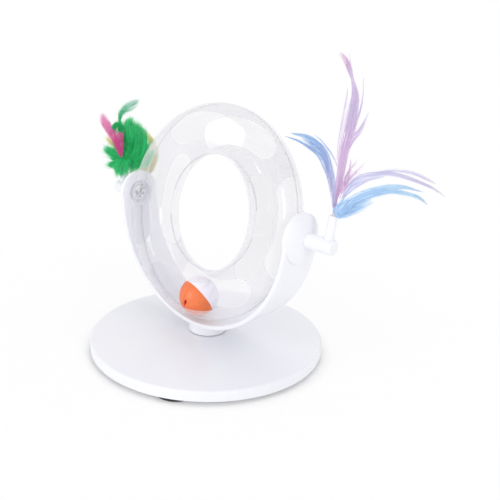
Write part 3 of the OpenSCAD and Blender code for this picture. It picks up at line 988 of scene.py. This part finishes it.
@dataclass
class LeftTuft(Tuft):
    """The pink feather, the small green feather and the down of the left arm."""

    pink: Locks = (
        Lock([(-2, -8, 9.5), (-6, -12, 21), (-16.5, -12.5, 29.5), (-29.5, -10, 36.5), (-39, -8.5, 42.5),
              (-46.5, -6.5, 48.5)], [2, 3.8, 5.4, 5.8, 5, 2.8], count=240, barb_share=0.36, fan=0.3),
        Lock([(-1, -5, 3), (-3, -10.5, 14.5), (-5.5, -11.5, 21.5), (-6, -9, 28), (-6, -6.5, 32)],
             [1.4, 4.4, 5.8, 4.8, 2.4], count=200, span=(0, 0.2), deep=0.8),
        Lock([(-1, -6, 6), (1, -8.5, 15), (0, -9, 22), (-4, -9, 28)],
             [1, 1.7, 1.7, 1], count=60, span=(0, 0.1), deep=1),
    )
    sprig: Locks = (
        Lock([(-11, 2, 28), (-20, 4, 30), (-23.5, 4.5, 37), (-24.5, 2.5, 44.5), (-25.5, 3.5, 51.5),
              (-25, 7.5, 57), (-24, 12.5, 61.5), (-24, 18, 66), (-24.5, 24.5, 70.5)],
             [0.9, 1, 1.6, 1.8, 3.6, 6.4, 7, 5.4, 0.8], count=420, barb_share=0.18, fan=0.6),
    )
    green: Locks = (
        Lock([(0, 0, 0), (3, 1, 6), (1.5, 7, 14), (0, 9, 26), (0.5, 8.5, 38), (1, 7, 44)],
             [3, 7, 8, 7.5, 6, 3.6], count=520),
        Lock([(0, 0, 0), (6, 5, 4), (7.5, 12, 14), (7, 14, 27.5), (5, 12, 35), (3, 10, 40)],
             [3, 6, 6.6, 6, 5, 3.2], count=380),
        Lock([(0, 0, 0), (8, 5, 2), (12.5, 13, 8), (12.5, 17, 17), (11, 18, 26)],
             [2.4, 5, 5.2, 4.2, 2.2], count=260),
        Lock([(0, 0, 0), (9, 7, 0), (15, 13, 2), (16, 19, 10), (16, 22, 19)],
             [2.4, 4.8, 5, 4, 2], count=260),
        Lock([(0, 0, 0), (0, -1, 6), (-3, 2, 14), (-5.5, 3, 26), (-6.5, 2, 36), (-6.5, 1, 43)],
             [3, 6.4, 7, 6.6, 5.4, 3], count=480),
        Lock([(0, 0, 8), (-2, 1, 20), (-3, 3, 32), (-3, 4, 40), (-3, 4, 46)],
             [3, 5.6, 6, 5, 2.4], count=280),
        Lock([(0, 0, 0), (-4, -5, 2), (-11, -8, 5), (-17, -9, 8), (-22, -11, 10), (-25, -12, 12)],
             [2.6, 5.6, 6.2, 5.4, 4.2, 2.6], count=360),
        Lock([(0, 0, 4), (-4, -4, 8), (-10, -6, 13), (-15, -6, 18), (-17, -6, 22)],
             [2.6, 5, 5.4, 4.2, 2.2], count=240),
        Lock([(0, 0, 0), (-4, -6, -1), (-9, -9, -4), (-12, -11, -5), (-15, -13, -5)],
             [2.6, 5.4, 5.2, 3.8, 2.2], count=260),
        Lock([(0, 0, 0), (0, -7, 2), (0, -9, -5), (1.5, -8, -14)], [2.6, 6.4, 6.6, 3.4], count=300),
        Lock([(0, 0, 0), (3, -6, 2), (5, -8, -5), (6, -7, -13)], [2.4, 6, 6.4, 3], count=260),
        Lock([(0, 0, 2), (5, -4, 3), (7.5, -5.5, -3), (7.5, -5, -10)], [2.4, 5.4, 5.6, 3.4], count=260),
        Lock([(-7, 0, 22), (-11.5, -2.5, 31), (-13.5, -4.5, 36)], [2, 3.8, 2.8], count=130, span=(0, 0.4)),
        Lock([(0, 0, 0), (-3, -6, 2), (-4, -8, -5), (-2, -7, -13)], [2.4, 5, 5.4, 2.8], count=220),
        Lock([(0, 0, 0), (6, 2, 3), (10, 4, -4), (10, 3, -13)], [2.4, 5.6, 5.6, 3], count=240),
        Lock([(-6, 0, 16), (-10.5, 0, 31), (-13, -4, 38), (-15.5, -8, 40), (-18, -9, 36.5),
              (-18.5, -8, 31.5), (-15, -4.5, 30)],
             [2, 2.6, 3.2, 3.2, 3, 2.6, 1.6], count=260, span=(0, 0.5)),
        Lock([(-6, 0, 14), (-10.5, 1, 25.5), (-12, -2.5, 34.5), (-12.5, -5, 39.5), (-13, -6, 43)],
             [2, 3, 3.4, 2.8, 1.6], count=200, span=(0, 0.5)),
        Lock([(-6, 0, 20), (-10, 0, 30.5), (-7.5, -0.5, 40), (-4.5, 0.5, 45.5), (-3, 2, 48)],
             [2, 3.4, 3.8, 2.8, 1.2], count=200),
    )
    yellow: Locks = (
        Lock([(0, 3, 0), (5, 20, -4), (6, 30, 0), (4, 36.5, 8), (1, 39, 16), (-5.5, 38, 26), (-9, 29, 36.5)],
             [1.6, 3.4, 4.6, 4.8, 4.2, 3.4, 1.4], count=420, deep=0.6),
        Lock([(1, 10, 0), (6, 26, -8), (6, 33, -4), (4, 38, 6)], [1.4, 3, 3, 1], count=180, deep=0.6),
        Lock([(-0.5, -1.5, 2), (-12, -6, 14), (-19, -9, 19), (-25, -13, 23.5)],
             [1.4, 2.6, 3.2, 1.8], count=140, span=(0.4, 1)),
    )

    def plumes(self) -> list[Plume]:
        """The two feathers and both kinds of down.

        Returns:
            The plumes.
        """
        return [
            Plume("pink_plume", "pink_feather", "pink_plume", self.pink,
                  palette((222, 76, 156), (228, 90, 170), (236, 118, 188), (240, 142, 202),
                          (240, 162, 210)),
                  seed=21, ruffle=0.5 * MM, pale=0.05),
            Plume("green_sprig_plume", "green_sprig", "green_plume", self.sprig,
                  palette((44, 190, 110), (52, 196, 120), (84, 206, 150), (130, 214, 180), (178, 220, 208)),
                  seed=22, ruffle=0.8 * MM, pale=0),
            Plume("green_down", "green_fluff", "green_plume", self.green,
                  palette((44, 196, 112), (62, 212, 132), (92, 222, 156)),
                  seed=31, barb_half=0.26 * MM, wave=0.9 * MM, ruffle=2.2 * MM, contrast=0.4, pale=0,
                  steps=5, spill=0.14),
            Plume("yellow_down", "yellow_fluff", "yellow_plume", self.yellow,
                  palette((226, 206, 96), (238, 226, 140), (244, 240, 176)),
                  seed=32, wave=0.5 * MM, ruffle=1.2 * MM, contrast=0.15, pale=0.1, steps=6),
        ]


# Ring, yoke, base and ball


@dataclass
class Ring:
    """The clear ring on its axle, with the white arms that hold the tufts."""

    clear: Material
    white: Material
    bright: Material
    plug: Material

    def build(self) -> None:
        """Dresses the shells, the arms and what holds them."""
        dress(self.clear, "ring_front_shell", "ring_back_shell")
        dress(self.white, "arm_left", "arm_right")
        dress(self.bright, "pivot_washers", "pivot_screws")
        dress(self.plug, "quill_plugs")


@dataclass
class Yoke:
    """The half-circle yoke and what holds it down in the base."""

    white: Material
    steel: Material

    def build(self) -> None:
        """Dresses the yoke, its washer and its screw."""
        dress(self.white, "yoke")
        dress(self.steel, "swivel_washer", "swivel_screw")


@dataclass
class Base:
    """The round base on its rubber feet.

    Each foot has an outer lip, a crescent that reaches nearly to the base's edge. The sizes are of the
    feet's circle and of the lips, whose half sweep is half the angle that each takes round its foot.
    """

    white: Material
    rubber: Material
    black: Material
    steel: Material
    count: int = 4
    first_angle: float = math.radians(-61.0)
    orbit: float = 95.0 * MM
    foot_radius: float = 20.0 * MM
    reach: float = 2.9 * MM
    gap: float = 0.02 * MM
    height: float = 3.98 * MM
    rounding: float = 0.4 * MM
    half_sweep: float = math.radians(70.0)
    steps: int = 28

    def outline(self) -> list[Range]:
        """The crescent's corners.

        Returns:
            X and Y from the foot's middle, with X away from the base's middle.
        """
        angles = [self.half_sweep * (2.0 * k / self.steps - 1.0) for k in range(self.steps + 1)]
        outer, inner = self.foot_radius, self.foot_radius + self.gap
        outside = [(self.reach + outer * math.cos(a), outer * math.sin(a)) for a in angles]
        return outside + [(inner * math.cos(a), inner * math.sin(a)) for a in reversed(angles)]

    def lips(self) -> None:
        """Makes all the lips as one piece on the base."""
        lips = bmesh.new()
        for k in range(self.count):
            turn = Matrix.Rotation(self.first_angle + k * math.tau / self.count, 4, "Z")
            place = turn @ Matrix.Translation((self.orbit, 0.0, 0.0))
            sole = lips.faces.new([lips.verts.new(place @ Vector((x, y, 0.0))) for x, y in self.outline()])
            grown = bmesh.ops.extrude_face_region(lips, geom=[sole])["geom"]
            raised = [part for part in grown if isinstance(part, bmesh.types.BMVert)]
            bmesh.ops.translate(lips, verts=raised, vec=(0.0, 0.0, self.height))
        low = [edge for edge in lips.edges if all(v.co.z < self.gap for v in edge.verts)]
        bmesh.ops.bevel(
            lips, geom=low, offset=self.rounding, segments=3, profile=0.5, affect="EDGES", material=-1
        )
        bmesh.ops.recalc_face_normals(lips, faces=lips.faces[:])
        make_piece(close_mesh("foot_lips", lips), self.rubber, "base", "black_rubber")

    def build(self) -> None:
        """Dresses the base, its screws, its feet and its glide washer, and makes the lips."""
        dress(self.white, "base_cover", "base_plate")
        dress(self.steel, "base_screws")
        dress(self.rubber, "rubber_feet")
        dress(self.black, "glide_washer")
        self.lips()


@dataclass
class RattleBall:
    """The ball with its bell."""

    orange: Material
    white: Material
    brass: Material
    steel: Material

    def build(self) -> None:
        """Dresses the halves and the bell."""
        dress(self.orange, "ball_orange_half")
        dress(self.white, "ball_white_half")
        dress(self.brass, "bell_shell")
        dress(self.steel, "bell_pellet")


# Studio


@dataclass(frozen=True)
class Lamp:
    """A soft lamp: where it hangs, its width and height, and its power in watts."""

    name: str
    place: Point
    size: Range
    power: float


@dataclass
class Studio:
    """The camera, the lamps, the white surroundings and the floor.

    From where the shadow starts, a near and a far share of plain white rise over the floor's least share.
    """

    eye: Point = (0.4286, -0.4284, 0.3066)
    azimuth: float = math.radians(41.17)
    elevation: float = math.radians(18.25)
    roll: float = math.radians(2.75)
    lens: float = 45.45
    sensor: float = 36.0
    clip: Range = (0.01, 50.0)
    lamps: Sequence[Lamp] = (
        Lamp("key", (-0.5, -2.3, 0.7), (0.7, 1.2), 13.5),
        Lamp("side", (1.9, -0.5, 0.9), (0.3, 1.1), 7.5),
        Lamp("top", (0.1, 0.5, 2.2), (1.2, 1.2), 4.0),
    )
    aim: Point = (0.0, 0.0, 0.13)
    soft_light: float = 0.8
    floor_size: float = 8.0
    floor_tone: Colour = (0.97, 0.97, 0.97)
    shadow_starts: float = 0.121
    shadow_reach: float = 0.012
    glow_reach: float = 0.3
    near_share: float = 0.65
    far_share: float = 0.25
    least_share: float = 0.1

    def camera(self) -> None:
        """Sets the camera where the photograph was taken."""
        data = bpy.data.cameras.new("camera")
        data.lens = self.lens
        data.sensor_width = self.sensor
        data.clip_start, data.clip_end = self.clip
        camera = add_object("camera", data)
        az, el = self.azimuth, self.elevation
        back = Vector((math.sin(az) * math.cos(el), -math.cos(az) * math.cos(el), math.sin(el)))
        level = Vector((math.cos(az), math.sin(az), 0.0))
        rise = back.cross(level)
        right = level * math.cos(self.roll) + rise * math.sin(self.roll)
        top = rise * math.cos(self.roll) - level * math.sin(self.roll)
        turn = Matrix((right, top, back)).transposed().to_4x4()
        camera.matrix_world = Matrix.Translation(self.eye) @ turn
        bpy.context.scene.camera = camera

    def light(self, lamp: Lamp) -> None:
        """Adds a lamp that points at the toy.

        Args:
            lamp: The lamp.
        """
        data = bpy.data.lights.new(lamp.name, "AREA")
        data.shape = "RECTANGLE"
        data.size, data.size_y = lamp.size
        data.energy = lamp.power
        hung = add_object(lamp.name, data)
        hung.location = lamp.place
        hung.rotation_euler = (Vector(self.aim) - Vector(lamp.place)).to_track_quat("-Z", "Y").to_euler()

    def surroundings(self) -> None:
        """Makes the world white in view, and a soft light on everything."""
        world = bpy.data.worlds.new("studio")
        bpy.context.scene.world = world
        shader = Shader(world)
        soft = shader.node("ShaderNodeBackground", inputs={"Color": WHITE, "Strength": self.soft_light})
        white = shader.node("ShaderNodeBackground", inputs={"Color": WHITE, "Strength": 1.0})
        shader.close(shader.either(shader.in_view(), soft, white), "ShaderNodeOutputWorld")

    def floor(self) -> None:
        """Lays the white floor, which keeps the toy's soft shadow."""
        shader = Shader(bpy.data.materials.new("studio_floor"))
        away = shader.distance()
        near = away.rise(self.shadow_starts, self.shadow_reach)
        far = away.rise(self.shadow_starts, self.glow_reach)
        lift = shader.in_view() * (near * self.near_share + far * self.far_share + self.least_share)
        matt = shader.node("ShaderNodeBsdfDiffuse", inputs={"Color": self.floor_tone})
        glow = shader.node("ShaderNodeEmission", inputs={"Color": WHITE, "Strength": 1.0})
        shape = bmesh.new()
        bmesh.ops.create_grid(shape, x_segments=2, y_segments=2, size=self.floor_size / 2)
        floor = add_object("studio_floor", close_mesh("studio_floor", shape))
        floor.data.materials.append(shader.close(shader.either(lift, matt, glow)))

    def build(self) -> None:
        """Makes the whole studio."""
        self.camera()
        for lamp in self.lamps:
            self.light(lamp)
        self.surroundings()
        self.floor()
        bpy.context.scene.view_settings.view_transform = "Standard"


def main() -> None:
    """Builds the studio and every sub-assembly in its finishes."""
    logging.basicConfig(level=logging.INFO, format="%(name)s %(message)s")
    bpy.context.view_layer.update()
    Studio().build()
    plain = {"colour": (0.875, 0.88, 0.92), "shade": (0.845, 0.855, 0.91), "roughness": 0.32}
    white = MouldedPlastic("white_moulding", **plain).build()
    steel = TurnedMetal("zinc_steel", (0.62, 0.62, 0.63)).build()
    rubber = MouldedPlastic("foot_rubber", (0.02, 0.021, 0.023), (0.03, 0.03, 0.033), roughness=0.7)
    black = MouldedPlastic("glide_black", (0.025, 0.026, 0.03), (0.035, 0.035, 0.04), roughness=0.5)
    Base(white=white, rubber=rubber.build(), black=black.build(), steel=steel).build()
    Yoke(white=BoredPlastic("yoke_white", **plain).build(), steel=steel).build()
    clear = ClearPlastic(
        "clear_shell", tint=(0.997, 0.997, 0.999), veil=(0.97, 0.965, 1.0), veil_share=0.25, edge_share=0.05
    )
    bright = TurnedMetal(
        "bright_steel", (0.97, 0.97, 1.0), roughness=0.4, mark_scale=300.0, dark_share=0.55, metallic=0.5
    )
    plug = MouldedPlastic("plug_white", (0.8, 0.8, 0.76), (0.74, 0.74, 0.7), roughness=0.6)
    Ring(clear=clear.build(), white=white, bright=bright.build(), plug=plug.build()).build()
    orange, pale, shade_share = (0.87, 0.19, 0.055), (0.93, 0.91, 0.99), 0.93
    # The balls' groove colours are painted highlights, and their deep tones painted shade and light.
    RattleBall(
        orange=PleatedPlastic(
            "ball_orange", orange, dimmed(orange, shade_share),
            painted_groove_highlight=(0.97, 0.36, 0.16), painted_inner_shade_and_light=(0.95, 0.03, 0.02),
        ).build(),
        white=PleatedPlastic(
            "ball_white", pale, dimmed(pale, shade_share),
            painted_groove_highlight=(0.97, 0.93, 0.99), painted_inner_shade_and_light=(0.8, 0.78, 0.86),
        ).build(),
        brass=TurnedMetal("bell_brass", (0.75, 0.52, 0.2), roughness=0.3).build(),
        steel=steel,
    ).build()
    barbs = Barbs("feather_barbs").build()
    RightTuft(Side.RIGHT, barbs).build()
    LeftTuft(Side.LEFT, barbs).build()


if __name__ == "__main__":
    main()
